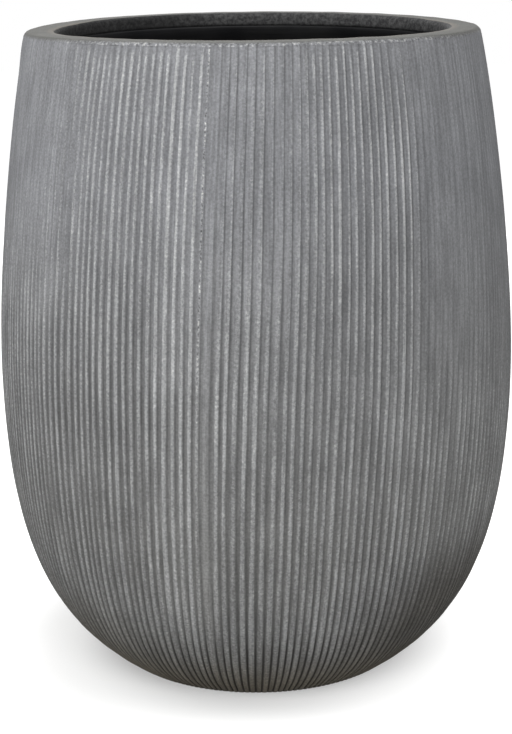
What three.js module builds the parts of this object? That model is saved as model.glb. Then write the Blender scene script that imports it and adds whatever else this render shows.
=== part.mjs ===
// Tall round planter: a ribbed fibre-clay shell with a plain lip, a black lining and a drain plug.
// Millimetres, +Z up. The origin is on the floor, under the middle of the pot.
import * as THREE from 'three';

const { degToRad } = THREE.MathUtils;

// Body of the pot, with heights measured from its foot
const bodyHeight = 569;
const bellyRadius = 230;
const bellyHeight = 275.5;
const footRadius = 131.5;
const shellWall = 9;
const bottomThickness = 10;

// How the outside sweeps: the slope at the foot and at the lip, and how far each end of a curve holds its way
const footSlope = degToRad(34.7);
const footPull = 80;
const bellyPullDown = 163;
const bellyPullUp = 94;
const lipLean = degToRad(14.3);
const lipPull = 40;

// Ribs combed into the outside, each turning a little on its way up
const ribCount = 196;
const ribDepth = 1.6;
const ribTurn = degToRad(4.6);

// Lip, a flat ring that covers the wall's top edge and drops into the mouth
const lipOuterRadius = 197.5;
const lipWidth = 28.5;
const lipDepth = 11.5;
const lipRounding = 5;
const lipInnerRounding = 4.5;

// Black lining
const liningWall = 3;

// Drain in the middle of the bottom
const drainBoreRadius = 13;
const bushWall = 3;
const bushFlangeWidth = 8;
const bushFlangeThickness = 3;
const plugHeadOverlap = 5;
const plugHeadThickness = 5;
const plugTaper = 1;
const plugTipRecess = 2;
const plugNeckRadius = 5;
const plugNeckHeight = 7;
const plugKnobRadius = 9;

// Pads under the foot
const padCount = 3;
const padRadius = 14;
const padThickness = 3;
const padInset = 24;

// Clearances: glued joints, the plug's seat and the plug's stem in its bore
const bondGap = 0.3;
const seatGap = 0.3;
const stemClearance = 0.4;

// Facets
const lowerSteps = 6;
const upperSteps = 3;
const plainColumns = 60;
const drainColumns = 24;
const arcSteps = 2;

// Places worked out from the sizes above
const lipRoundingLevel = bodyHeight - lipRounding;
const shellTop = lipRoundingLevel + lipRounding * Math.sin(lipLean);
const lipUnderside = bodyHeight - lipDepth;
const openingRadius = lipOuterRadius - lipWidth;
const liningBottom = bottomThickness + bondGap;
const liningFloor = liningBottom + liningWall;
const bushRadius = drainBoreRadius + bushWall;
const drainHoleRadius = bushRadius + bondGap;
const bushFlangeBase = liningFloor + bondGap;
const bushTop = bushFlangeBase + bushFlangeThickness;

const lowerWall = new THREE.CubicBezierCurve(
  new THREE.Vector2(footRadius, 0),
  new THREE.Vector2(footRadius + footPull * Math.cos(footSlope), footPull * Math.sin(footSlope)),
  new THREE.Vector2(bellyRadius, bellyHeight - bellyPullDown),
  new THREE.Vector2(bellyRadius, bellyHeight),
);
const upperWall = new THREE.CubicBezierCurve(
  new THREE.Vector2(bellyRadius, bellyHeight),
  new THREE.Vector2(bellyRadius, bellyHeight + bellyPullUp),
  new THREE.Vector2(lipOuterRadius + lipPull * Math.sin(lipLean), shellTop - lipPull * Math.cos(lipLean)),
  new THREE.Vector2(lipOuterRadius, shellTop),
);

// Points up the wall from foot to lip, set in from the outside by a given depth
function wallLine(depth) {
  const stretch = (curve, steps, first) => {
    const points = [];
    for (let step = first; step <= steps; step += 1) {
      const point = curve.getPoint(step / steps);
      const along = curve.getTangent(step / steps);
      points.push(new THREE.Vector2(point.x - depth * along.y, point.y + depth * along.x));
    }
    return points;
  };
  return [...stretch(lowerWall, lowerSteps, 0), ...stretch(upperWall, upperSteps, 1)];
}

// Point of a wall line at a level, its end stretches carried on straight where it stops short
function pointAtLevel(line, level) {
  const above = line.findIndex((point) => point.y >= level);
  const index = above < 0 ? line.length - 1 : Math.max(above, 1);
  const [from, to] = [line[index - 1], line[index]];
  const share = (level - from.y) / (to.y - from.y);
  return new THREE.Vector2(from.x + share * (to.x - from.x), level);
}

// Stretch of a wall line between two levels
function wallBetween(depth, low, high) {
  const line = wallLine(depth);
  const inside = line.filter((point) => point.y > low && point.y < high);
  return [pointAtLevel(line, low), ...inside, pointAtLevel(line, high)];
}

// Ring of points round the Z axis, anticlockwise from -Y
function ringOfPoints(columns, height, turn, radiusOf) {
  return Array.from({ length: columns }, (_, column) => {
    const angle = turn + (2 * Math.PI * column) / columns;
    const radius = radiusOf(column);
    return new THREE.Vector3(radius * Math.sin(angle), -radius * Math.cos(angle), height);
  });
}

// Triangles between two rings, always stepping along the ring that is behind
function bridgeRings(first, second) {
  const triangles = [];
  let step = 0;
  let otherStep = 0;
  while (step < first.count || otherStep < second.count) {
    const corner = first.start + (step % first.count);
    const otherCorner = second.start + (otherStep % second.count);
    if ((step + 0.5) / first.count <= (otherStep + 0.5) / second.count) {
      step += 1;
      triangles.push(corner, first.start + (step % first.count), otherCorner);
    } else {
      otherStep += 1;
      triangles.push(corner, second.start + (otherStep % second.count), otherCorner);
    }
  }
  return triangles;
}

// Closed solid from rings that follow its section round, up the outside and down the inside
function solidFromRings(rings) {
  const points = rings.flat();
  let start = 0;
  const spans = rings.map((ring) => {
    const span = { start, count: ring.length };
    start += ring.length;
    return span;
  });
  const triangles = spans.flatMap((span, index) => bridgeRings(span, spans[(index + 1) % spans.length]));
  const geometry = new THREE.BufferGeometry().setFromPoints(points);
  geometry.setIndex(triangles);
  geometry.computeVertexNormals();
  return geometry;
}

// Solid of revolution about Z from a section that is listed up the outside and down the inside
function revolve(section, columns) {
  return new THREE.LatheGeometry(section, columns).rotateX(Math.PI / 2);
}

function closedSection(points) {
  return [...points, points[0]];
}

// Shell, with a crest and a groove for every rib on its outside
function makeShell() {
  const plainRing = (radius, height) => ringOfPoints(plainColumns, height, 0, () => radius);
  const ribbedRing = (point) => {
    const turn = ribTurn * (point.y / shellTop - 1);
    return ringOfPoints(2 * ribCount, point.y, turn, (column) => point.x - (column % 2) * ribDepth);
  };
  const inside = wallBetween(shellWall, bottomThickness, shellTop).reverse();
  return solidFromRings([
    plainRing(drainHoleRadius, 0),
    ...wallLine(0).map(ribbedRing),
    ...inside.map((point) => plainRing(point.x, point.y)),
    plainRing(drainHoleRadius, bottomThickness),
  ]);
}

// Lip ring, its outer edge rounded and its lower half sitting in the mouth of the shell
function makeLip() {
  const seat = shellTop + bondGap;
  const mouthRadius = pointAtLevel(wallLine(shellWall), shellTop).x;
  const roundingRadius = lipOuterRadius - lipRounding * Math.cos(lipLean);
  const roundingStart = Math.asin((seat - lipRoundingLevel) / lipRounding);
  const section = new THREE.Path();
  section.moveTo(openingRadius, lipUnderside);
  section.lineTo(mouthRadius - bondGap, lipUnderside);
  section.lineTo(mouthRadius - bondGap, seat);
  section.absarc(roundingRadius, lipRoundingLevel, lipRounding, roundingStart, Math.PI / 2, false);
  section.absarc(
    openingRadius + lipInnerRounding,
    bodyHeight - lipInnerRounding,
    lipInnerRounding,
    Math.PI / 2,
    Math.PI,
    false,
  );
  return revolve(closedSection(section.getPoints(arcSteps)), plainColumns);
}

// Lining, a cup inside the shell that stops under the lip
function makeLining() {
  const top = lipUnderside - bondGap;
  const outside = wallBetween(shellWall + bondGap, liningBottom, top);
  const inside = wallBetween(shellWall + bondGap + liningWall, liningFloor, top).reverse();
  const section = [
    new THREE.Vector2(drainHoleRadius, liningBottom),
    ...outside,
    ...inside,
    new THREE.Vector2(drainHoleRadius, liningFloor),
  ];
  return revolve(closedSection(section), plainColumns);
}

// Bush, a sleeve down through lining and shell under a flange
function makeBush() {
  const flangeRadius = bushRadius + bushFlangeWidth;
  const section = [
    new THREE.Vector2(drainBoreRadius, 0),
    new THREE.Vector2(bushRadius, 0),
    new THREE.Vector2(bushRadius, bushFlangeBase),
    new THREE.Vector2(flangeRadius, bushFlangeBase),
    new THREE.Vector2(flangeRadius, bushTop),
    new THREE.Vector2(drainBoreRadius, bushTop),
  ];
  return revolve(closedSection(section), drainColumns);
}

// Plug, a tapered stem under a head that rests on the bush, with a round knob to pull
function makePlug() {
  const seat = bushTop + seatGap;
  const headRadius = drainBoreRadius + plugHeadOverlap;
  const headTop = seat + plugHeadThickness;
  const neckTop = headTop + plugNeckHeight;
  const stemRadius = drainBoreRadius - stemClearance;
  const knobStart = Math.asin(plugNeckRadius / plugKnobRadius);
  const knobCentre = neckTop + plugKnobRadius * Math.cos(knobStart);
  const section = new THREE.Path();
  section.moveTo(0, plugTipRecess);
  section.lineTo(stemRadius - plugTaper, plugTipRecess);
  section.lineTo(stemRadius, seat);
  section.lineTo(headRadius, seat);
  section.lineTo(headRadius, headTop);
  section.lineTo(plugNeckRadius, headTop);
  section.absarc(0, knobCentre, plugKnobRadius, knobStart - Math.PI / 2, Math.PI / 2, false);
  const points = section.getPoints(2 * arcSteps);
  points[points.length - 1].x = 0;
  return revolve(points, drainColumns);
}

function makePad() {
  return new THREE.CylinderGeometry(padRadius, padRadius, padThickness, drainColumns).rotateX(Math.PI / 2);
}

function namedMesh(name, geometry, color, roughness) {
  const material = new THREE.MeshStandardMaterial({ color, roughness, metalness: 0 });
  const mesh = new THREE.Mesh(geometry, material);
  mesh.name = name;
  return mesh;
}

const planter = new THREE.Group();

const pot = new THREE.Group();
pot.position.z = padThickness;
pot.add(namedMesh('ribbed_shell', makeShell(), '#83878b', 0.9));
pot.add(namedMesh('rim_ring', makeLip(), '#8b8a88', 0.88));
pot.add(namedMesh('inner_lining', makeLining(), '#1b1b1d', 0.7));
pot.add(namedMesh('drain_bush', makeBush(), '#2a2b2d', 0.5));
pot.add(namedMesh('drain_plug', makePlug(), '#1d1d1e', 0.75));
planter.add(pot);

for (let index = 0; index < padCount; index += 1) {
  const angle = (2 * Math.PI * index) / padCount;
  const pad = namedMesh(`floor_pad_${index + 1}`, makePad(), '#262626', 0.8);
  pad.position.set(
    (footRadius - padInset) * Math.sin(angle),
    -(footRadius - padInset) * Math.cos(angle),
    padThickness / 2,
  );
  planter.add(pad);
}

export default planter;
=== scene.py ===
import math
import random

import bmesh
import bpy
from mathutils import Matrix, Vector, noise


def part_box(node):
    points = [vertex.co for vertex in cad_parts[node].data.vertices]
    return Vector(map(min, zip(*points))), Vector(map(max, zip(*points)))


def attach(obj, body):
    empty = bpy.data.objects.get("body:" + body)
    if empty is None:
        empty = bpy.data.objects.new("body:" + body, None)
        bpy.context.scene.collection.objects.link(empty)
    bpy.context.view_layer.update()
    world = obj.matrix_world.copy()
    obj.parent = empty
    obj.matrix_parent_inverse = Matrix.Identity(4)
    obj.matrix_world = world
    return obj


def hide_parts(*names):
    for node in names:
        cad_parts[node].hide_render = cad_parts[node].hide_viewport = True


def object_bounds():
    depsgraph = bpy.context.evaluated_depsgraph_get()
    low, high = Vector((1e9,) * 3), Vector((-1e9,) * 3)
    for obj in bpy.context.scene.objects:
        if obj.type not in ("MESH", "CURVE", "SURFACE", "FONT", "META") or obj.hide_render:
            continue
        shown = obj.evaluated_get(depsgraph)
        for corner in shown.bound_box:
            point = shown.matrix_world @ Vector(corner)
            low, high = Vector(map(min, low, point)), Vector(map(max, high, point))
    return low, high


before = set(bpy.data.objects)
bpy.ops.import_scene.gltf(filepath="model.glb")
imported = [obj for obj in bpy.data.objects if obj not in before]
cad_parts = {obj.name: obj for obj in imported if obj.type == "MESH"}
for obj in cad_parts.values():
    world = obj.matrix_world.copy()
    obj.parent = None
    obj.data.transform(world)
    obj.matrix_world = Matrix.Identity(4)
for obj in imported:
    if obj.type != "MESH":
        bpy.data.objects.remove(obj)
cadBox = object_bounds()
mm = 0.001
mergeGap = 0.02 * mm  # points closer than this become one
scene = bpy.context.scene
scene.view_settings.view_transform = "Standard"
print("frame loaded:", ", ".join(sorted(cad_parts)))


# small helpers

def ease(value):
    value = min(1.0, max(0.0, value))
    return value * value * (3 - 2 * value)


def rise(value, start, stop):
    # soft step from 0 at start to 1 at stop, which may lie below start
    return ease((value - start) / (stop - start))


def lerp(a, b, share):
    return a + (b - a) * share


def toLinear(hexColour):
    parts = [int(hexColour[i:i + 2], 16) / 255 for i in (1, 3, 5)]
    linear = [c / 12.92 if c <= 0.04045 else ((c + 0.055) / 1.055) ** 2.4 for c in parts]
    return (*linear, 1.0)


def addNode(tree, kind, settings, links=None):
    # in a Mix node the colours are inputs 6 and 7 and output 2
    node = tree.nodes.new("ShaderNode" + kind)
    for key, value in settings.items():
        if isinstance(key, int) or key in node.inputs:
            node.inputs[key].default_value = value
        else:
            setattr(node, key, value)
    for key, socket in (links or {}).items():
        tree.links.new(socket, node.inputs[key])
    return node


def rangeSettings(start, stop, atStart=0.0, atStop=1.0):
    return {"From Min": start, "From Max": stop, "To Min": atStart, "To Max": atStop}


def noiseSettings(size, detail, roughness=0.5):
    # from the pattern's size in millimetres
    return {"Scale": 1 / (size * mm), "Detail": detail, "Roughness": roughness}


def newMaterial(name):
    material = bpy.data.materials.new(name)
    material.use_nodes = True
    material.node_tree.nodes.clear()
    return material, material.node_tree


def finishMaterial(tree, shader):
    addNode(tree, "OutputMaterial", {}, {"Surface": shader.outputs[0]})


def finishPiece(name, bm, material, node, body):
    bmesh.ops.recalc_face_normals(bm, faces=bm.faces)
    for face in bm.faces:
        face.smooth = True
    mesh = bpy.data.meshes.new(name)
    bm.to_mesh(mesh)
    bm.free()
    mesh.materials.append(material)
    piece = bpy.data.objects.new(name, mesh)
    scene.collection.objects.link(piece)
    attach(piece, body)
    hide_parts(node)
    print("made", name, "with", len(mesh.vertices), "vertices")
    return piece


# camera: about 1.6 m away, a little above the lip and looking down; millimetres and radians
cameraPlan = {
    "distance": 1600,
    "height": 677.7,
    "lookDown": 0.2526,
    "turn": 0.0003,
    "roll": -0.0114,
    "lens": 88.77,
    "sensor": 36,
}


def makeCamera():
    data = bpy.data.cameras.new("photoCamera")
    data.lens = cameraPlan["lens"]
    data.sensor_width = cameraPlan["sensor"]
    camera = bpy.data.objects.new("photoCamera", data)
    scene.collection.objects.link(camera)
    aim = Matrix.Rotation(cameraPlan["turn"], 4, "Z")
    aim = aim @ Matrix.Rotation(math.pi / 2 - cameraPlan["lookDown"], 4, "X")
    aim = aim @ Matrix.Rotation(cameraPlan["roll"], 4, "Z")
    place = Vector((0, -cameraPlan["distance"], cameraPlan["height"])) * mm
    camera.matrix_world = Matrix.Translation(place) @ aim
    scene.camera = camera


makeCamera()
print("camera placed")


# wall line: how the outside of the pot sweeps from foot to lip, in millimetres above the foot
shellLow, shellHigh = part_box("ribbed_shell")
lipLow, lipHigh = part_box("rim_ring")
footLevel = shellLow.z / mm
shellTop = shellHigh.z / mm - footLevel
lipTop = lipHigh.z / mm - footLevel
lipUnder = lipLow.z / mm - footLevel

wall = {
    "bellyRadius": shellHigh.x / mm,
    "bellyHeight": 275.5,
    "footRadius": 131.5,
    "footSlope": math.radians(34.7),
    "footPull": 80,
    "bellyPullDown": 163,
    "bellyPullUp": 94,
    "lipRadius": 197.5,
    "lipLean": math.radians(14.3),
    "lipPull": 40,
    "lipSeat": 0.3,  # the lip sits this far above the shell's top in the solids
    "thickness": 9,
    "bottom": 10,
    "drainHole": 16.3,
}
halvings = 40  # steps in the search for a height on the wall

lowerKnots = [
    Vector((wall["footRadius"], 0)),
    Vector((
        wall["footRadius"] + wall["footPull"] * math.cos(wall["footSlope"]),
        wall["footPull"] * math.sin(wall["footSlope"]),
    )),
    Vector((wall["bellyRadius"], wall["bellyHeight"] - wall["bellyPullDown"])),
    Vector((wall["bellyRadius"], wall["bellyHeight"])),
]
upperKnots = [
    lowerKnots[3],
    Vector((wall["bellyRadius"], wall["bellyHeight"] + wall["bellyPullUp"])),
    Vector((
        wall["lipRadius"] + wall["lipPull"] * math.sin(wall["lipLean"]),
        shellTop - wall["lipPull"] * math.cos(wall["lipLean"]),
    )),
    Vector((wall["lipRadius"], shellTop)),
]


def wallAt(share, inset=0):
    # share runs 0 to 1 from foot to belly and 1 to 2 from belly to lip
    a, b, c, d = lowerKnots if share <= 1 else upperKnots
    t = share if share <= 1 else share - 1
    point = a * (1 - t) ** 3 + b * 3 * t * (1 - t) ** 2 + c * 3 * t * t * (1 - t) + d * t ** 3
    along = (b - a) * (1 - t) ** 2 + (c - b) * 2 * t * (1 - t) + (d - c) * t * t
    along.normalize()
    outward = Vector((along.y, -along.x))
    return point - outward * inset, outward


def wallShare(height, inset):
    low, high = 0.0, 2.0
    for _ in range(halvings):
        middle = (low + high) / 2
        if wallAt(middle, inset)[0].y < height:
            low = middle
        else:
            high = middle
    return low


def wallStretch(fromHeight, toHeight, inset, steps):
    first = wallShare(fromHeight, inset)
    last = wallShare(toHeight, inset)
    line = [wallAt(lerp(first, last, i / steps), inset)[0] for i in range(steps + 1)]
    line[0].y = fromHeight
    line[-1].y = toHeight
    return line


# ribs: combed by hand, so their widths, heights and lines vary; millimetres up the wall, degrees round it
ribs = {
    "count": 196,
    "seed": 200,
    "widthSpread": 0.16,
    "shiftSpread": 0.05,
    "driftSpread": 100,  # sets each rib's unevenness apart from its neighbours'
    "strengths": (0.88, 1.06),
    "strengthAtFoot": 0.35,  # how much of a rib's own strength shows there
    "heightLimits": (0.25, 1.12),
    "lowerDepth": 2.3,
    "upperDepth": 1.35,
    "topDepth": 0.35,
    "topFade": 26,
    "frayHigh": 0.4,  # ribs fray out under the lip, each over a length of its own
    "frayPast": 5,
    "frayLeast": 8,
    "frayMore": 14,
    "roundUntil": (40, 230),
    "beadUntil": (275, 425),
    "lean": 2.5,
    "leanSpan": 300,
    "spread": (0.053, 0.056, -0.11),
    "wander": 0.10,
    "wanderTurn": 14,
    "wanderLength": 160,
    "sway": 0.06,
    "swayLength": 110,
    "swell": 0.2,
    "swellLength": 70,
    "seamAngle": -11.8,
    "seamHeights": (150, 400),
}
# layers of the noise, so that no two kinds of unevenness run together
noiseLayers = {"sway": 1.7, "wander": 4.1, "swell": 9.3}
# the narrow gritty rib where the comb met its own start, and the wide low one beside it
seamRib = {"width": 0.8, "strength": 0.8, "shift": 0.0, "tone": 0.8, "seam": 1.0}
besideSeam = {"width": 1.25, "strength": 0.55, "tone": 1.0}
# a rib's six lines in each form: places across the pitch, heights, and how much painted shade sits there
ribForms = {
    "ridge": (
        (0.0, 0.24, 0.36, 0.5, 0.62, 0.74),
        (0.0, 0.07, 0.9, 1.06, 0.9, 0.07),
        (0.3, 0.4, 0.0, 0.0, 0.1, 1.1),
    ),
    "bead": (
        (0.0, 0.14, 0.32, 0.48, 0.66, 0.82),
        (0.0, 0.15, 0.88, 1.0, 0.85, 0.12),
        (0.4, 0.3, 0.0, 0.0, 0.05, 0.76),
    ),
    "lapped": (
        (0.0, 0.10, 0.34, 0.66, 0.82, 0.93),
        (0.0, 0.38, 0.52, 0.66, 0.78, 0.12),
        (0.8, 0.15, 0.0, 0.0, 0.0, 1.2),
    ),
    "round": (
        (0.0, 0.10, 0.22, 0.5, 0.78, 0.90),
        (0.0, 0.48, 0.8, 0.9, 0.8, 0.48),
        (0.9, 0.35, 0.0, 0.0, 0.0, 0.35),
    ),
}
ribLines = 6
crestLine = 3
ribColumns = ribs["count"] * ribLines
# patches round the wall, in degrees: where each starts and stops, and how wide its soft edges are
lappedPatches = ((-16, 16, 10), (124, 176, 16), (-150, -86, 20))
beadPatches = ((-74, -6, 21), (88, 136, 15))
# pale and faint patches also have a height, the span over which they change there,
# and how strong they are below and above it
palePatches = (
    (-26, 0, 8, 250, 220, 0.0, 0.85),
    (-24, -3, 6, 360, 120, 2.2, 0.0),
    (-8, 12, 6, 300, 100, 0.0, 0.9),
    (2, 24, 6, 170, 100, 1.8, 0.0),
    # painted light: the upper left made paler where it is lit
    (-130, -34, 20, 345, 110, 0.0, 1.7),
)
paleFrom = (45, 125)
faintPatches = (
    (33, 96, 6, 300, 170, 0.1, 1.0),
    (58, 130, 36, 300, 170, 0.1, 1.0),
    (22, 60, 12, 520, 60, 0.0, 0.6),
    (2, 24, 6, 280, 80, 0.08, 0.12),
    (-110, -32, 32, 390, 105, 0.1, 0.9),
    (148, 176, 12, 300, 100, 0.3, 0.8),
)
# bold and dull patches lie between two angles and between two heights, each with its soft edges
boldPatches = (
    ((-56, 4, 14), (200, 420, 80)),
    ((-8, 40, 8), (10, 190, 50)),
)
dullPatch = ((2, 42, 8), (255, 420, 60))
calmHeights = (80, 250, 60)  # shallower under the belly
# how far the patches change a rib
patchEffects = {
    "boldHigh": 0.05,
    "boldDepth": 0.15,
    "boldShade": 0.4,
    "faintHigh": 0.6,
    "faintDepth": 0.6,
    "faintShade": 0.7,
    "lappedDepth": 0.25,
    "paleShade": 0.75,
    "leastShade": 0.4,
    "dullTone": 1.1,
}
# painted shade in the grooves: more of it lower down, and most at the foot
paintedGrooveShade = {"upper": 0.5, "lower": 0.75, "lowerBy": (500, 240), "foot": 1.9, "footBy": (85, 25)}


def planRibs():
    draw = random.Random(ribs["seed"])
    plan = []
    for _ in range(ribs["count"]):
        plan.append({
            "width": 1 + ribs["widthSpread"] * draw.uniform(-1, 1),
            "strength": draw.uniform(*ribs["strengths"]),
            "shift": ribs["shiftSpread"] * draw.uniform(-1, 1),
            "tone": draw.random(),
            "drift": draw.uniform(0, ribs["driftSpread"]),
            "seam": 0.0,
        })
    seamIndex = int((ribs["seamAngle"] + 180) / 360 * ribs["count"])
    plan[seamIndex].update(seamRib)
    plan[seamIndex + 1].update(besideSeam)
    total = sum(rib["width"] for rib in plan)
    beforeSeam = sum(rib["width"] for rib in plan[:seamIndex]) + plan[seamIndex]["width"] / 2
    start = math.radians(ribs["seamAngle"]) - 2 * math.pi * beforeSeam / total
    for rib in plan:
        rib["start"] = start
        rib["width"] *= 2 * math.pi / total
        start += rib["width"]
    return plan


ribPlan = planRibs()
print("ribs planned")


def ribLean(angle, height):
    # all ribs lean a little one way, and those at the sides spread towards the lip
    up = (height - ribs["leanSpan"]) / ribs["leanSpan"]
    first, second, third = ribs["spread"]
    spread = first * up + second * up ** 2 + third * up ** 3
    return math.radians(ribs["lean"] * up) + math.sin(angle) * spread


def patchShare(value, start, stop, edge):
    return ease((value - start) / edge) * ease((stop - value) / edge)


def inPatches(degrees, patches):
    return max(patchShare(degrees, *patch) for patch in patches)


def blockShare(degrees, height, around, upright):
    return patchShare(degrees, *around) * patchShare(height, *upright)


def risingShare(degrees, height, patches):
    shares = []
    for start, stop, edge, level, span, below, above in patches:
        reach = lerp(below, above, ease((height - level) / span + 0.5))
        shares.append(reach * patchShare(degrees, start, stop, edge))
    return max(shares)


def layerNoise(x, y, layer):
    return noise.noise(Vector((x, y, noiseLayers[layer])))


def formWeights(degrees, height):
    # round ribs at the foot, beads over them, and above the belly the form of each patch
    upShare = rise(height, *ribs["roundUntil"])
    ownShare = upShare * rise(height, *ribs["beadUntil"])
    lapPatch = inPatches(degrees, lappedPatches)
    beadPatch = min(inPatches(degrees, beadPatches), 1 - lapPatch)
    lapped = ownShare * lapPatch
    ridge = ownShare * (1 - lapPatch - beadPatch)
    weights = {"round": 1 - upShare, "lapped": lapped, "ridge": ridge, "bead": upShare - lapped - ridge}
    return weights, upShare, ownShare


def ribAt(column, height):
    # where one line of a rib runs at this height, and how it is formed there
    rib = ribPlan[column // ribLines]
    line = column % ribLines
    middle = math.degrees(rib["start"] + rib["width"] / 2)
    weights, upShare, ownShare = formWeights(middle, height)
    across, high, shade = [
        sum(share * ribForms[form][row][line] for form, share in weights.items()) for row in range(3)
    ]
    faint = risingShare(middle, height, faintPatches)
    pale = risingShare(middle, height, palePatches) * rise(height, *paleFrom)
    bold = max(blockShare(middle, height, *patch) for patch in boldPatches)
    dull = blockShare(middle, height, *dullPatch)
    fuller = bold - patchShare(height, *calmHeights)

    if line:
        sway = ribs["sway"] * layerNoise(rib["drift"], height / ribs["swayLength"], "sway")
        across += (rib["shift"] * weights["ridge"] + sway) * upShare
        swell = ribs["swell"] * layerNoise(rib["drift"], height / ribs["swellLength"], "swell")
        lowest, highest = ribs["heightLimits"]
        strength = lerp(lerp(1, rib["strength"], ribs["strengthAtFoot"]), rib["strength"], upShare)
        strength += swell - patchEffects["faintHigh"] * faint + patchEffects["boldHigh"] * fuller
        high *= min(highest, max(lowest, strength))
        frayTop = shellTop + ribs["frayPast"]
        frayLength = ribs["frayLeast"] + ribs["frayMore"] * rib["tone"]
        high = lerp(ribs["frayHigh"], high, rise(height, frayTop, frayTop - frayLength))
    wander = layerNoise(middle / ribs["wanderTurn"], height / ribs["wanderLength"], "wander")
    straight = rib["start"] + rib["width"] * (across + ribs["wander"] * wander)

    depth = lerp(ribs["lowerDepth"], ribs["upperDepth"], upShare)
    depth *= lerp(ribs["topDepth"], 1, rise(height, shellTop, shellTop - ribs["topFade"]))
    depth *= 1 - patchEffects["lappedDepth"] * weights["lapped"]
    depth *= 1 - patchEffects["faintDepth"] * faint
    depth *= 1 + patchEffects["boldDepth"] * fuller

    # painted shade in the grooves, deeper lower down and deepest at the foot
    grooveShadeGain = lerp(paintedGrooveShade["upper"], paintedGrooveShade["lower"], rise(height, *paintedGrooveShade["lowerBy"]))
    grooveShadeGain += paintedGrooveShade["foot"] * rise(height, *paintedGrooveShade["footBy"])
    shade *= grooveShadeGain
    shade *= 1 + patchEffects["boldShade"] * bold * (1 - weights["lapped"])
    shade *= 1 - patchEffects["faintShade"] * faint
    paleShare = pale * (ownShare - weights["lapped"])
    shade *= max(patchEffects["leastShade"], 1 - patchEffects["paleShade"] * paleShare)
    return {
        "angle": straight + ribLean(straight, height),
        "straight": straight,
        "high": high,
        "shade": shade,
        "depth": depth,
        "tone": rib["tone"] + pale - patchEffects["dullTone"] * dull,
        "seam": rib["seam"] * rise(height, *ribs["seamHeights"]) if line == crestLine else 0.0,
    }


# the top is a little out of true, as it is on a pot laid up by hand: low at both sides, high at the back
# and fuller at the left
topWarp = {
    "leftDrop": 2.1,
    "leftGather": 4,  # the higher, the closer to the side
    "rightDrop": 1.6,
    "rightGather": 2,
    "backLift": 0.5,
    "dropFrom": 470,
    "leftSwell": 1.1,
    "swellBy": (530, 560),
}


def onPot(angle, radius, height):
    side = math.sin(angle)
    left = abs(side) ** topWarp["leftGather"] if side < 0 else 0.0
    right = side ** topWarp["rightGather"] if side > 0 else 0.0
    lift = topWarp["backLift"] * (1 - math.cos(angle)) / 2
    lift -= topWarp["leftDrop"] * left + topWarp["rightDrop"] * right
    level = height + lift * rise(height, topWarp["dropFrom"], lipTop)
    reach = radius + topWarp["leftSwell"] * left * rise(height, *topWarp["swellBy"])
    return Vector((side * reach, -math.cos(angle) * reach, level + footLevel)) * mm


def flatGrid(columns, rings):
    bm = bmesh.new()
    bmesh.ops.create_grid(bm, x_segments=columns, y_segments=rings, size=1)
    return bm


def gridPlace(vertex, columns, rings):
    # column and ring of a flat grid's vertex, counted round so that both edges meet
    column = round((vertex.co.x + 1) / 2 * columns) % columns
    ring = round((vertex.co.y + 1) / 2 * rings) % rings
    return column, ring


# what the material reads where nothing is combed
plainHigh = 0.3
plainTone = 0.5


def addRibLayers(bm, *moreNames):
    names = ("ribHigh", "ribShade", "ribTone", "ribSeam", *moreNames)
    layers = {name: bm.verts.layers.float.new(name) for name in names}
    layers["combPlace"] = bm.verts.layers.float_vector.new("combPlace")
    return layers


def storeRib(vertex, layers, rib, share, height):
    vertex[layers["ribHigh"]] = lerp(plainHigh, rib["high"], share)
    vertex[layers["ribShade"]] = rib["shade"] * share
    vertex[layers["ribTone"]] = lerp(plainTone, rib["tone"], share)
    vertex[layers["ribSeam"]] = rib["seam"] * share
    # the place before the ribs lean, so that streaks run along them
    vertex[layers["combPlace"]] = onPot(rib["straight"], wall["bellyRadius"], height)


# shell of combed fibre-clay
shellPlan = {"outerRings": 66, "innerRings": 8, "jointGap": 0.05, "mouthDepth": 4, "mouthLean": 1.2}


def makeShell(material):
    outerTop = shellTop + wall["lipSeat"] - shellPlan["jointGap"]
    outer = [wallAt(2 * i / shellPlan["outerRings"]) for i in range(shellPlan["outerRings"] + 1)]
    tipPoint = outer[-1][0] + Vector((-math.tan(wall["lipLean"]), 1)) * (outerTop - shellTop)
    outer.append((tipPoint, outer[-1][1]))
    mouth = shellTop - shellPlan["mouthDepth"]
    inner = wallStretch(mouth, wall["bottom"], wall["thickness"], shellPlan["innerRings"])
    inner.insert(0, Vector((inner[0].x - shellPlan["mouthLean"], outerTop)))
    section = [Vector((wall["drainHole"], 0)), *[point for point, _ in outer], *inner]
    section.append(Vector((wall["drainHole"], wall["bottom"])))

    bm = flatGrid(ribColumns, len(section))
    layers = addRibLayers(bm)
    for vertex in bm.verts:
        column, ring = gridPlace(vertex, ribColumns, len(section))
        radius, height = section[ring]
        rib = ribAt(column, height)
        outside = 1 <= ring <= len(outer)
        storeRib(vertex, layers, rib, 1.0 if outside else 0.0, height)
        if outside:
            outward = outer[ring - 1][1]
            sunk = rib["depth"] * (1 - rib["high"])
            radius -= outward.x * sunk
            if ring > 1:  # the foot's own edge stays level
                height -= outward.y * sunk
        vertex.co = onPot(rib["angle"], radius, height)
    bmesh.ops.remove_doubles(bm, verts=bm.verts, dist=mergeGap)
    return finishPiece("combed_shell", bm, material, "ribbed_shell", "pot")


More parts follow.
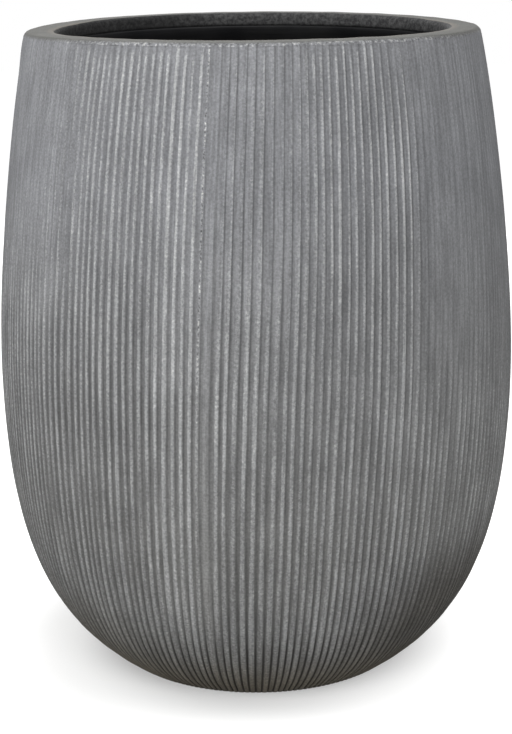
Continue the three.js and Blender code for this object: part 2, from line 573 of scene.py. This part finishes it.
# lip, smoothed by hand over the ends of the ribs; sides are given by the sine of the angle
lipPlan = {
    "width": 28.5,
    "rounding": 5,
    "innerRounding": 4.5,
    "spigotGap": 1,
    "arcSteps": 8,
    "flatSteps": 6,
    "innerSteps": 6,
    "faceSteps": 4,
    "jointTurn": 0.03,  # a close second ring keeps the joint from showing as a soft edge
    "grit": (0.2, 0.65),  # along the outer arris, less of it at the left
    "gritBy": (-0.95, -0.45),
    "wipedBy": (0.3, 1.0),  # wiped smooth, further round the arris at the sides
    "wipedSides": 0.35,
    "sidesBy": (0.5, 0.9),
    "unevenTurns": 9,
    "unevenRise": 0.25,
    "unevenDepth": 6,
    "unevenReach": 0.3,
    "unevenLength": 9,
}
lipOpening = wall["lipRadius"] - lipPlan["width"]


def onArc(middle, radius, turn):
    return middle + radius * Vector((math.cos(turn), math.sin(turn)))


def makeLip(material):
    seat = shellTop + wall["lipSeat"]
    arcMiddle = Vector((
        wall["lipRadius"] - lipPlan["rounding"] * math.cos(wall["lipLean"]), lipTop - lipPlan["rounding"],
    ))
    arcStart = math.asin((seat - arcMiddle.y) / lipPlan["rounding"])
    spigot = wallAt(2, wall["thickness"])[0].x - lipPlan["spigotGap"]
    section = [Vector((lipOpening, lipUnder)), Vector((spigot, lipUnder)), Vector((spigot, seat))]
    firstArc = len(section)
    turns = [lerp(arcStart, math.pi / 2, i / lipPlan["arcSteps"]) for i in range(lipPlan["arcSteps"] + 1)]
    turns.insert(1, arcStart + lipPlan["jointTurn"])
    section += [onArc(arcMiddle, lipPlan["rounding"], turn) for turn in turns]
    lastArc = len(section) - 1
    innerMiddle = Vector((lipOpening + lipPlan["innerRounding"], lipTop - lipPlan["innerRounding"]))
    for i in range(1, lipPlan["flatSteps"]):
        section.append(Vector((lerp(arcMiddle.x, innerMiddle.x, i / lipPlan["flatSteps"]), lipTop)))
    for i in range(lipPlan["innerSteps"] + 1):
        turn = lerp(math.pi / 2, math.pi, i / lipPlan["innerSteps"])
        section.append(onArc(innerMiddle, lipPlan["innerRounding"], turn))
    for i in range(1, lipPlan["faceSteps"]):
        section.append(Vector((lipOpening, lerp(innerMiddle.y, lipUnder, i / lipPlan["faceSteps"]))))

    bm = flatGrid(ribColumns, len(section))
    layers = addRibLayers(bm, "wiped")
    for vertex in bm.verts:
        column, ring = gridPlace(vertex, ribColumns, len(section))
        radius, height = section[ring]
        rib = ribAt(column, min(height, shellTop))
        up = (ring - firstArc) / (lastArc - firstArc) if firstArc <= ring <= lastArc else 1.0
        fade = 1 - ease(up)
        radius -= rib["depth"] * (1 - rib["high"]) * fade
        storeRib(vertex, layers, rib, fade, height)
        side = math.sin(rib["angle"])
        grit = lerp(*lipPlan["grit"], rise(side, *lipPlan["gritBy"]))
        vertex[layers["ribSeam"]] = grit * math.sin(math.pi * up)
        wipedUp = up + lipPlan["wipedSides"] * rise(abs(side), *lipPlan["sidesBy"])
        vertex[layers["wiped"]] = rise(wipedUp, *lipPlan["wipedBy"])
        if ring > firstArc:  # hand-smoothed, so never quite level or round
            around = Vector((side, math.cos(rib["angle"]), 0)) * lipPlan["unevenTurns"]
            upper = rise(height, lipTop - lipPlan["unevenDepth"], lipTop)
            height += lipPlan["unevenRise"] * noise.noise(around) * upper
            around.z = height / lipPlan["unevenLength"]
            radius += lipPlan["unevenReach"] * noise.noise(around)
        vertex.co = onPot(rib["angle"], radius, height)
    bmesh.ops.remove_doubles(bm, verts=bm.verts, dist=mergeGap)
    return finishPiece("smoothed_lip", bm, material, "rim_ring", "pot")


# black lining, brushed on inside, with the corner under the lip filled in a soft sweep
liningPlan = {
    "gap": 0.3,
    "thickness": 3,
    "columns": 192,
    "outerRings": 18,
    "innerRings": 36,
    "floorRings": 8,
    "filletDrop": 26,
    "filletRings": 10,
    "filletInset": 1,  # how far the sweep stops short of the opening
}


def makeLining(material):
    outerInset = wall["thickness"] + liningPlan["gap"]
    innerInset = outerInset + liningPlan["thickness"]
    base = wall["bottom"] + liningPlan["gap"]
    floor = base + liningPlan["thickness"]
    top = lipUnder - liningPlan["gap"]
    filletFoot = top - liningPlan["filletDrop"]
    inner = wallStretch(top, filletFoot, innerInset, liningPlan["filletRings"])
    inner += wallStretch(filletFoot, floor, innerInset, liningPlan["innerRings"])[1:]
    underLip = inner[0].x - (lipOpening + liningPlan["filletInset"])
    for point in inner:
        point.x -= underLip * rise(point.y, filletFoot, top)
    section = [Vector((wall["drainHole"], base))]
    section += wallStretch(base, top, outerInset, liningPlan["outerRings"])
    section += inner
    for i in range(1, liningPlan["floorRings"] + 1):
        section.append(Vector((lerp(inner[-1].x, wall["drainHole"], i / liningPlan["floorRings"]), floor)))

    columns = liningPlan["columns"]
    bm = flatGrid(columns, len(section))
    for vertex in bm.verts:
        column, ring = gridPlace(vertex, columns, len(section))
        radius, height = section[ring]
        vertex.co = onPot(2 * math.pi * column / columns, radius, height)
    bmesh.ops.remove_doubles(bm, verts=bm.verts, dist=mergeGap)
    return finishPiece("brushed_lining", bm, material, "inner_lining", "pot")


# drain fittings and floor pads, spun or extruded and then given soft edges
drainSteps = 64


def spinSection(points, closed):
    bm = bmesh.new()
    verts = [bm.verts.new((0, -radius * mm, (height + footLevel) * mm)) for radius, height in points]
    ends = zip(verts, verts[1:] + verts[:1]) if closed else zip(verts, verts[1:])
    edges = [bm.edges.new(pair) for pair in ends]
    bmesh.ops.spin(
        bm, geom=verts + edges, cent=(0, 0, 0), axis=(0, 0, 1), angle=2 * math.pi, steps=drainSteps,
        use_merge=True,
    )
    bmesh.ops.remove_doubles(bm, verts=bm.verts, dist=mergeGap)
    bmesh.ops.recalc_face_normals(bm, faces=bm.faces)
    return bm


def softenEdges(bm, plan):
    sharp = math.radians(plan["sharpAngle"])
    edges = [e for e in bm.edges if e.is_manifold and e.calc_face_angle(0) > sharp]
    bmesh.ops.bevel(
        bm, geom=edges, offset=plan["edge"] * mm, segments=plan["edgeSegments"], profile=0.5, affect="EDGES",
        material=-1, clamp_overlap=True,
    )


bushPlan = {
    "bore": 13, "sleeve": 16, "flange": 24, "flangeThickness": 3,
    "edge": 0.6, "edgeSegments": 3, "sharpAngle": 60,
}


def makeBush(material):
    low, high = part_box("drain_bush")
    bottom = low.z / mm - footLevel
    top = high.z / mm - footLevel
    flangeBase = top - bushPlan["flangeThickness"]
    bm = spinSection([
        (bushPlan["bore"], bottom), (bushPlan["sleeve"], bottom), (bushPlan["sleeve"], flangeBase),
        (bushPlan["flange"], flangeBase), (bushPlan["flange"], top), (bushPlan["bore"], top),
    ], True)
    softenEdges(bm, bushPlan)
    return finishPiece("drain_sleeve", bm, material, "drain_bush", "pot")


plugPlan = {
    "stem": 12.6, "taper": 1, "head": 18, "headThickness": 5, "neck": 5, "neckHeight": 7, "knob": 9,
    "knobSteps": 12, "edge": 0.9, "edgeSegments": 3, "sharpAngle": 50,
}


def makePlug(material):
    low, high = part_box("drain_plug")
    tip = low.z / mm - footLevel
    top = high.z / mm - footLevel
    knobMiddle = top - plugPlan["knob"]
    knobStart = math.asin(plugPlan["neck"] / plugPlan["knob"])
    neckTop = knobMiddle - plugPlan["knob"] * math.cos(knobStart)
    headTop = neckTop - plugPlan["neckHeight"]
    seat = headTop - plugPlan["headThickness"]
    points = [
        (0, tip), (plugPlan["stem"] - plugPlan["taper"], tip), (plugPlan["stem"], seat),
        (plugPlan["head"], seat), (plugPlan["head"], headTop), (plugPlan["neck"], headTop),
    ]
    for i in range(plugPlan["knobSteps"]):
        turn = lerp(knobStart, math.pi, i / plugPlan["knobSteps"])
        height = knobMiddle - plugPlan["knob"] * math.cos(turn)
        points.append((plugPlan["knob"] * math.sin(turn), height))
    points.append((0, top))
    bm = spinSection(points, False)
    softenEdges(bm, plugPlan)
    return finishPiece("drain_stopper", bm, material, "drain_plug", "plug")


padPlan = {"count": 3, "segments": 48, "edge": 0.8, "edgeSegments": 3, "sharpAngle": 60}


def makePads(material):
    for index in range(1, padPlan["count"] + 1):
        node = "floor_pad_" + str(index)
        low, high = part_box(node)
        radius = (high.x - low.x) / 2
        middle = (low + high) / 2
        bm = bmesh.new()
        bmesh.ops.create_cone(
            bm, cap_ends=True, segments=padPlan["segments"], radius1=radius, radius2=radius,
            depth=high.z - low.z, matrix=Matrix.Translation(middle),
        )
        softenEdges(bm, padPlan)
        finishPiece("rubber_pad_" + str(index), bm, material, node, "pot")


# fibre-clay, combed on the wall and wiped smooth on the lip: a matte grey mineral with a gritty skin,
# worn pale along the crests under a painted highlight, with painted shade in the grooves, towards the foot
# and on the lip's top
clayLook = {
    "body": "#858689", "lowBody": "#838382", "groove": "#40403f", "crest": "#acadae", "speck": "#d2d2cf",
    "footTint": "#d9d4cc", "earthTint": "#fff8ea", "paintedShadeTint": "#c8c8c9",
    "lip": "#646461", "lipEdge": "#7b766f", "coat": "#2d2d2e", "coatPale": "#585858",
    "ior": 1.5, "specular": 0.25, "bump": 0.5, "bumpDepth": 0.6 * mm,
    "streakLength": 55,
    "brokenBy": 0.5,  # how far grain and streaks break up the crests and the grooves
    "crestSpecks": 0.5,
    "seamSpecks": 0.9,
    "smearedBy": 0.8 * mm,  # how far the coat's edge runs in and out
}
# each pattern's size in millimetres, detail and roughness; real grit is finer than 1 mm, and it is drawn
# coarser here so that it shows in the render
clayPatterns = {
    "grain": (2.0, 3.0, 0.65),
    "specks": (2.2, 1.0),
    "mottle": (40, 4.0),
    "streak": (3.0, 4.0, 0.65),
    "smear": (3.5, 5.0, 0.7),
}
# where each mask starts and stops, and what it is worth there; places on the pot are in metres
clayMasks = {
    # the first two: crests worn pale with a painted highlight, and painted shade in the grooves
    "wearAndHighlight": (0.8, 1.3, 0.0, 0.75),
    "dark": (0.3, 1.3, 0.0, 0.9),
    "lowBody": (0.46, 0.16),
    "pits": (0.46, 0.34),
    "specks": (0.56, 0.68),
    "slow": (0.36, 0.64, 0.93, 1.07),
    "lines": (0.4, 0.6, 0.83, 1.17),
    "fine": (0.36, 0.64, 0.84, 1.16),
    "ownTone": (0.0, 1.0, 0.95, 1.05),
    # from here: stain and painted shade towards the foot, the shade higher at the sides and deepest at the
    # lower right, and an earth stain at the very foot
    "rightRise": (0.06, 0.15, 0.0, 0.07),
    "leftRise": (-0.06, -0.15, 0.0, 0.035),
    "footStainAndShade": (0.095, 0.01),
    "earth": (0.055, 0.015),
    "shadeSide": (0.06, 0.13),
    "shadeHeight": (0.165, 0.1),
    "rough": (0.0, 1.0, 0.84, 0.96),
}
# the same for the lip; rubbed and coated count from its opening, and the painted shade on the coat's face
# from its underside
lipMasks = {
    "rubbed": (0.011, 0.003, 0.0, 0.9),
    "thinCoat": (0.4, 0.68),
    # the next two paint shade on the coat: low on its face, and at the left
    "coatFaceShade": (0.0, 0.004, 0.45, 1.0),
    "leftCoatShade": (-0.08, -0.03, 0.42, 1.0),
    "backLap": (0.02, 0.15, 0.0008, 0.008),
    "sideLap": (0.1, 0.165, 0.0, 0.0034),
    "coated": (0.0008, 0.0),
}


def claySkin(tree):
    # what colour, roughness and bump are made from: the ribs' own values, places on the pot and patterns
    coords = addNode(tree, "TexCoord", {}).outputs["Object"]
    place = addNode(tree, "SeparateXYZ", {}, {0: coords}).outputs
    skin = {"coords": coords, "right": place["X"], "back": place["Y"], "height": place["Z"]}
    for name in ("ribHigh", "ribShade", "ribTone", "ribSeam"):
        skin[name] = addNode(tree, "Attribute", {"attribute_name": name}).outputs["Fac"]
    for name in ("grain", "specks", "mottle"):
        settings = noiseSettings(*clayPatterns[name])
        skin[name] = addNode(tree, "TexNoise", settings, {"Vector": coords}).outputs["Fac"]
    comb = addNode(tree, "Attribute", {"attribute_name": "combPlace"}).outputs["Vector"]
    squeeze = clayPatterns["streak"][0] / clayLook["streakLength"]
    combed = addNode(tree, "Mapping", {"Scale": (1, 1, squeeze)}, {"Vector": comb}).outputs["Vector"]
    settings = noiseSettings(*clayPatterns["streak"])
    skin["streak"] = addNode(tree, "TexNoise", settings, {"Vector": combed}).outputs["Fac"]
    for name, pattern in (("slow", "mottle"), ("lines", "streak"), ("fine", "grain")):
        settings = rangeSettings(*clayMasks[name])
        skin[name] = addNode(tree, "MapRange", settings, {"Value": skin[pattern]}).outputs[0]
    return skin


def combedColour(tree, skin):
    # the grain breaks up the worn crests and their painted highlight, and the streaks break up the painted
    # shade in the grooves
    broken = {"operation": "MULTIPLY_ADD", 1: clayLook["brokenBy"]}
    wornAndLitHigh = addNode(tree, "Math", broken, {0: skin["grain"], 2: skin["ribHigh"]}).outputs[0]
    wearAndHighlight = addNode(
        tree, "MapRange", {**rangeSettings(*clayMasks["wearAndHighlight"]), "interpolation_type": "SMOOTHSTEP"},
        {"Value": wornAndLitHigh},
    ).outputs[0]
    brokenShade = addNode(tree, "Math", broken, {0: skin["streak"], 2: skin["ribShade"]}).outputs[0]
    dark = addNode(tree, "MapRange", rangeSettings(*clayMasks["dark"]), {"Value": brokenShade}).outputs[0]
    lower = addNode(
        tree, "MapRange", rangeSettings(*clayMasks["lowBody"]), {"Value": skin["height"]}
    ).outputs[0]
    colour = addNode(
        tree, "Mix",
        {"data_type": "RGBA", 6: toLinear(clayLook["body"]), 7: toLinear(clayLook["lowBody"])}, {0: lower},
    ).outputs[2]

    # dark pits along the seam, and pale specks there and on the crests
    pits, specks = [
        addNode(tree, "MapRange", rangeSettings(*clayMasks[name]), {"Value": skin["specks"]}).outputs[0]
        for name in ("pits", "specks")
    ]
    pits = addNode(tree, "Math", {"operation": "MULTIPLY"}, {0: pits, 1: skin["ribSeam"]}).outputs[0]
    onCrests = addNode(
        tree, "Math", {"operation": "MULTIPLY", 1: clayLook["crestSpecks"]}, {0: wearAndHighlight}
    ).outputs[0]
    speckPlace = addNode(
        tree, "Math", {"operation": "MULTIPLY_ADD", "use_clamp": True, 1: clayLook["seamSpecks"]},
        {0: skin["ribSeam"], 2: onCrests},
    ).outputs[0]
    specks = addNode(tree, "Math", {"operation": "MULTIPLY"}, {0: specks, 1: speckPlace}).outputs[0]
    # painted shade into the grooves, and worn pale with a painted highlight onto the crests; pits and specks
    # are the clay's own
    for mask, name in ((dark, "groove"), (wearAndHighlight, "crest"), (pits, "groove"), (specks, "speck")):
        colour = addNode(
            tree, "Mix", {"data_type": "RGBA", 7: toLinear(clayLook[name])}, {0: mask, 6: colour}
        ).outputs[2]

    # slow mottling, comb streaks, grain and each rib's own tone
    ownTone = addNode(
        tree, "MapRange", {**rangeSettings(*clayMasks["ownTone"]), "clamp": False},
        {"Value": skin["ribTone"]},
    ).outputs[0]
    change = skin["slow"]
    for factor in (skin["lines"], skin["fine"], ownTone):
        change = addNode(tree, "Math", {"operation": "MULTIPLY"}, {0: change, 1: factor}).outputs[0]
    return addNode(tree, "VectorMath", {"operation": "SCALE"}, {0: colour, "Scale": change}).outputs[0]


def stainedAndShadedFoot(tree, skin, colour):
    # earth-stained and darkened with painted shade towards the foot, the shade higher up at the sides than
    # in front and deepest at the lower right
    rises = [
        addNode(tree, "MapRange", rangeSettings(*clayMasks[name]), {"Value": skin["right"]}).outputs[0]
        for name in ("rightRise", "leftRise")
    ]
    sideRise = addNode(tree, "Math", {"operation": "ADD"}, {0: rises[0], 1: rises[1]}).outputs[0]
    footShadeHeight = addNode(
        tree, "Math", {"operation": "SUBTRACT"}, {0: skin["height"], 1: sideRise}
    ).outputs[0]
    footStainAndShade = addNode(
        tree, "MapRange", {**rangeSettings(*clayMasks["footStainAndShade"]), "interpolation_type": "SMOOTHSTEP"},
        {"Value": footShadeHeight},
    ).outputs[0]
    masks = {}
    for name, place in (("earth", "height"), ("shadeSide", "right"), ("shadeHeight", "height")):
        masks[name] = addNode(
            tree, "MapRange", rangeSettings(*clayMasks[name]), {"Value": skin[place]}
        ).outputs[0]
    # painted shade at the lower right
    lowerRightShade = addNode(tree, "Math", {"operation": "MULTIPLY"}, {0: masks["shadeSide"], 1: masks["shadeHeight"]})
    for mask, name in ((footStainAndShade, "footTint"), (masks["earth"], "earthTint"), (lowerRightShade.outputs[0], "paintedShadeTint")):
        colour = addNode(
            tree, "Mix", {"data_type": "RGBA", "blend_type": "MULTIPLY", 7: toLinear(clayLook[name])},
            {0: mask, 6: colour},
        ).outputs[2]
    return colour


def wipedLip(tree, skin, colour):
    # wiped flat the lip is warmer and painted darker, as shade on its top, and rubbed pale beside the
    # opening
    rubbed = addNode(
        tree, "MapRange", rangeSettings(*lipMasks["rubbed"]), {"Value": skin["fromOpening"]}
    ).outputs[0]
    tone = addNode(
        tree, "Mix",
        {"data_type": "RGBA", 6: toLinear(clayLook["lip"]), 7: toLinear(clayLook["lipEdge"])}, {0: rubbed},
    ).outputs[2]
    change = addNode(tree, "Math", {"operation": "MULTIPLY"}, {0: skin["slow"], 1: skin["fine"]}).outputs[0]
    tone = addNode(tree, "VectorMath", {"operation": "SCALE"}, {0: tone, "Scale": change}).outputs[0]
    return addNode(
        tree, "Mix", {"data_type": "RGBA"}, {0: skin["wiped"], 6: colour, 7: tone}
    ).outputs[2]


def lappedCoat(tree, skin, colour):
    # the black coat laps up the lip's inner face and over its arris, thin and streaky at its edge
    smear = addNode(
        tree, "TexNoise", noiseSettings(*clayPatterns["smear"]), {"Vector": skin["coords"]}
    ).outputs["Fac"]
    thin = addNode(tree, "MapRange", rangeSettings(*lipMasks["thinCoat"]), {"Value": smear}).outputs[0]
    tone = addNode(
        tree, "Mix",
        {"data_type": "RGBA", 6: toLinear(clayLook["coat"]), 7: toLinear(clayLook["coatPale"])}, {0: thin},
    ).outputs[2]

    # painted shade low on the face, and more painted shade at the left
    fromUnder = addNode(
        tree, "Math", {"operation": "SUBTRACT", 1: (lipUnder + footLevel) * mm}, {0: skin["height"]}
    ).outputs[0]
    for name, place in (("coatFaceShade", fromUnder), ("leftCoatShade", skin["right"])):
        dim = addNode(tree, "MapRange", rangeSettings(*lipMasks[name]), {"Value": place}).outputs[0]
        tone = addNode(tree, "VectorMath", {"operation": "SCALE"}, {0: tone, "Scale": dim}).outputs[0]

    # its edge is higher at the back and at the sides
    aside = addNode(tree, "Math", {"operation": "ABSOLUTE"}, {0: skin["right"]}).outputs[0]
    laps = [
        addNode(tree, "MapRange", rangeSettings(*lipMasks[name]), {"Value": place}).outputs[0]
        for name, place in (("backLap", skin["back"]), ("sideLap", aside))
    ]
    lap = addNode(tree, "Math", {"operation": "MAXIMUM"}, {0: laps[0], 1: laps[1]}).outputs[0]
    edge = addNode(
        tree, "Math", {"operation": "MULTIPLY_ADD", 1: clayLook["smearedBy"]},
        {0: smear, 2: skin["fromOpening"]},
    ).outputs[0]
    pastLap = addNode(tree, "Math", {"operation": "SUBTRACT"}, {0: edge, 1: lap}).outputs[0]
    coated = addNode(tree, "MapRange", rangeSettings(*lipMasks["coated"]), {"Value": pastLap}).outputs[0]
    return addNode(tree, "Mix", {"data_type": "RGBA"}, {0: coated, 6: colour, 7: tone}).outputs[2]


def makeFibreClay(name, isLip):
    material, tree = newMaterial(name)
    skin = claySkin(tree)
    streak = skin["streak"]
    colour = stainedAndShadedFoot(tree, skin, combedColour(tree, skin))
    if isLip:
        flat = addNode(tree, "VectorMath", {"operation": "MULTIPLY", 1: (1, 1, 0)}, {0: skin["coords"]})
        radius = addNode(tree, "VectorMath", {"operation": "LENGTH"}, {0: flat.outputs[0]}).outputs["Value"]
        skin["fromOpening"] = addNode(
            tree, "Math", {"operation": "SUBTRACT", 1: lipOpening * mm}, {0: radius}
        ).outputs[0]
        skin["wiped"] = addNode(tree, "Attribute", {"attribute_name": "wiped"}).outputs["Fac"]
        colour = lappedCoat(tree, skin, wipedLip(tree, skin, colour))
        combed = addNode(tree, "Math", {"operation": "SUBTRACT", 0: 1.0}, {1: skin["wiped"]}).outputs[0]
        streak = addNode(tree, "Math", {"operation": "MULTIPLY"}, {0: streak, 1: combed}).outputs[0]
    relief = addNode(tree, "Math", {"operation": "ADD"}, {0: skin["grain"], 1: streak}).outputs[0]
    bump = addNode(
        tree, "Bump", {"Strength": clayLook["bump"], "Distance": clayLook["bumpDepth"]}, {"Height": relief}
    ).outputs["Normal"]
    rough = addNode(
        tree, "MapRange", rangeSettings(*clayMasks["rough"]), {"Value": skin["grain"]}
    ).outputs[0]
    shader = addNode(
        tree, "BsdfPrincipled", {"IOR": clayLook["ior"], "Specular IOR Level": clayLook["specular"]},
        {"Base Color": colour, "Roughness": rough, "Normal": bump},
    )
    finishMaterial(tree, shader)
    return material


# bitumen coat: near-black and dull, with brush marks running round the pot
bitumenLook = {
    "deep": "#1c1c1e", "thin": "#2e2e2f",
    "brush": (2.5, 3.0), "brushLength": 90, "brushShare": 0.5,
    "patch": (40, 3.0),
    "thinBy": (0.6, 0.95), "rough": (0.0, 1.0, 0.55, 0.8),
    "ior": 1.5, "specular": 0.3, "bump": 0.5, "bumpDepth": 0.5 * mm,
}


def makeBitumenCoat():
    look = bitumenLook
    material, tree = newMaterial("brushed_bitumen_coat")
    coords = addNode(tree, "TexCoord", {}).outputs["Object"]
    squeeze = look["brush"][0] / look["brushLength"]
    brushed = addNode(
        tree, "Mapping", {"Scale": (squeeze, squeeze, 1)}, {"Vector": coords}
    ).outputs["Vector"]
    brush = addNode(tree, "TexNoise", noiseSettings(*look["brush"]), {"Vector": brushed}).outputs["Fac"]
    patch = addNode(tree, "TexNoise", noiseSettings(*look["patch"]), {"Vector": coords}).outputs["Fac"]
    marks = addNode(
        tree, "Math", {"operation": "MULTIPLY_ADD", 1: look["brushShare"]}, {0: brush, 2: patch}
    ).outputs[0]
    thin = addNode(tree, "MapRange", rangeSettings(*look["thinBy"]), {"Value": marks}).outputs[0]
    colour = addNode(
        tree, "Mix", {"data_type": "RGBA", 6: toLinear(look["deep"]), 7: toLinear(look["thin"])}, {0: thin}
    ).outputs[2]
    rough = addNode(tree, "MapRange", rangeSettings(*look["rough"]), {"Value": patch}).outputs[0]
    bump = addNode(
        tree, "Bump", {"Strength": look["bump"], "Distance": look["bumpDepth"]}, {"Height": brush}
    ).outputs["Normal"]
    shader = addNode(
        tree, "BsdfPrincipled", {"IOR": look["ior"], "Specular IOR Level": look["specular"]},
        {"Base Color": colour, "Roughness": rough, "Normal": bump},
    )
    finishMaterial(tree, shader)
    return material


# injection-moulded polypropylene: black with a satin sheen and a fine, even spark grain
polypropyleneLook = {
    "deep": "#1f2022", "pale": "#2c2d2f", "grain": (0.8, 4.0), "rough": (0.0, 1.0, 0.4, 0.55),
    "ior": 1.49, "bump": 0.2, "bumpDepth": 0.2 * mm,
}
# compression-moulded EPDM rubber: black and dull, a little dusty, with a coarser skin
rubberLook = {
    "deep": "#171718", "pale": "#262627", "grain": (1.2, 4.0), "rough": (0.0, 1.0, 0.7, 0.9),
    "ior": 1.52, "bump": 0.2, "bumpDepth": 0.2 * mm,
}


def makeMoulded(name, look):
    material, tree = newMaterial(name)
    coords = addNode(tree, "TexCoord", {}).outputs["Object"]
    grain = addNode(tree, "TexNoise", noiseSettings(*look["grain"]), {"Vector": coords}).outputs["Fac"]
    colour = addNode(
        tree, "Mix", {"data_type": "RGBA", 6: toLinear(look["deep"]), 7: toLinear(look["pale"])}, {0: grain}
    ).outputs[2]
    rough = addNode(tree, "MapRange", rangeSettings(*look["rough"]), {"Value": grain}).outputs[0]
    bump = addNode(
        tree, "Bump", {"Strength": look["bump"], "Distance": look["bumpDepth"]}, {"Height": grain}
    ).outputs["Normal"]
    shader = addNode(
        tree, "BsdfPrincipled", {"IOR": look["ior"]},
        {"Base Color": colour, "Roughness": rough, "Normal": bump},
    )
    finishMaterial(tree, shader)
    return material


makeShell(makeFibreClay("combed_fibre_clay", False))
makeLip(makeFibreClay("smoothed_fibre_clay", True))
makeLining(makeBitumenCoat())
makeBush(makeMoulded("moulded_polypropylene", polypropyleneLook))
rubber = makeMoulded("moulded_epdm_rubber", rubberLook)
makePlug(rubber)
makePads(rubber)
print("pieces dressed")


# stage: a white floor that keeps the shadow near the pot, and white behind; metres
stagePlan = {
    "floorSize": 12,
    "seenColour": "#cbcbca",
    "bounceColour": "#8c8c8b",
    "glowBy": (0.13, 0.28, 0.4, 1.0),  # the floor's own white, weaker near the foot
    "uncovered": (0.07, 0.095),  # and none of it under the pot, where it would shine through the drain
    "shadeScale": (0.95, 1, 1),
    "shadeShift": (0.035, 0, 0),
}
# each lamp's name, place and width in metres, and power in watts
lightPlan = {
    "ambient": 0.03,
    "lamps": (
        ("front", (0.0, -2.08, 1.5), 1.6, 41),
        ("left", (-1.49, -0.4, 2.14), 1.6, 33),
        ("right", (1.76, -0.31, 1.91), 1.6, 15),
        ("back", (-0.1, 2.15, 0.9), 1.6, 24),
    ),
}


def seenRays(tree):
    rays = addNode(tree, "LightPath", {}).outputs
    seen = rays["Is Camera Ray"]
    for name in ("Is Glossy Ray", "Is Transmission Ray"):
        seen = addNode(tree, "Math", {"operation": "MAXIMUM"}, {0: seen, 1: rays[name]}).outputs[0]
    return seen


def makeFloor():
    material, tree = newMaterial("white_floor")
    seen = seenRays(tree)
    coords = addNode(tree, "TexCoord", {}).outputs["Object"]
    fromMiddle = addNode(
        tree, "VectorMath",
        {"operation": "MULTIPLY_ADD", 1: stagePlan["shadeScale"], 2: stagePlan["shadeShift"]}, {0: coords},
    ).outputs[0]
    away = addNode(tree, "VectorMath", {"operation": "LENGTH"}, {0: fromMiddle}).outputs["Value"]
    white = addNode(
        tree, "MapRange", {**rangeSettings(*stagePlan["glowBy"]), "interpolation_type": "SMOOTHSTEP"},
        {"Value": away},
    ).outputs[0]
    uncovered = addNode(
        tree, "MapRange", rangeSettings(*stagePlan["uncovered"]), {"Value": away}
    ).outputs[0]
    for factor in (uncovered, seen):
        white = addNode(tree, "Math", {"operation": "MULTIPLY"}, {0: white, 1: factor}).outputs[0]
    tint = addNode(
        tree, "Mix",
        {"data_type": "RGBA", 6: toLinear(stagePlan["bounceColour"]), 7: toLinear(stagePlan["seenColour"])},
        {0: seen},
    ).outputs[2]
    diffuse = addNode(tree, "BsdfDiffuse", {}, {"Color": tint})
    glow = addNode(tree, "Emission", {"Color": (1, 1, 1, 1)}, {"Strength": white})
    finishMaterial(tree, addNode(tree, "AddShader", {}, {0: diffuse.outputs[0], 1: glow.outputs[0]}))

    bm = bmesh.new()
    bmesh.ops.create_grid(bm, x_segments=1, y_segments=1, size=stagePlan["floorSize"] / 2)
    mesh = bpy.data.meshes.new("floor")
    bm.to_mesh(mesh)
    bm.free()
    mesh.materials.append(material)
    floor = bpy.data.objects.new("floor", mesh)
    scene.collection.objects.link(floor)


def makeWorld():
    world = bpy.data.worlds.new("studio")
    world.use_nodes = True
    tree = world.node_tree
    tree.nodes.clear()
    strength = addNode(
        tree, "MapRange", rangeSettings(0.0, 1.0, lightPlan["ambient"], 1.0), {"Value": seenRays(tree)}
    ).outputs[0]
    back = addNode(tree, "Background", {"Color": (1, 1, 1, 1)}, {"Strength": strength})
    addNode(tree, "OutputWorld", {}, {"Surface": back.outputs[0]})
    scene.world = world


def makeLamps():
    middle = (cadBox[0] + cadBox[1]) / 2
    for name, place, size, power in lightPlan["lamps"]:
        data = bpy.data.lights.new(name, "AREA")
        data.shape = "DISK"
        data.size = size
        data.energy = power
        lamp = bpy.data.objects.new(name, data)
        lamp.location = place
        lamp.rotation_euler = (middle - Vector(place)).to_track_quat("-Z", "Y").to_euler()
        scene.collection.objects.link(lamp)


makeFloor()
makeWorld()
makeLamps()
print("stage set")
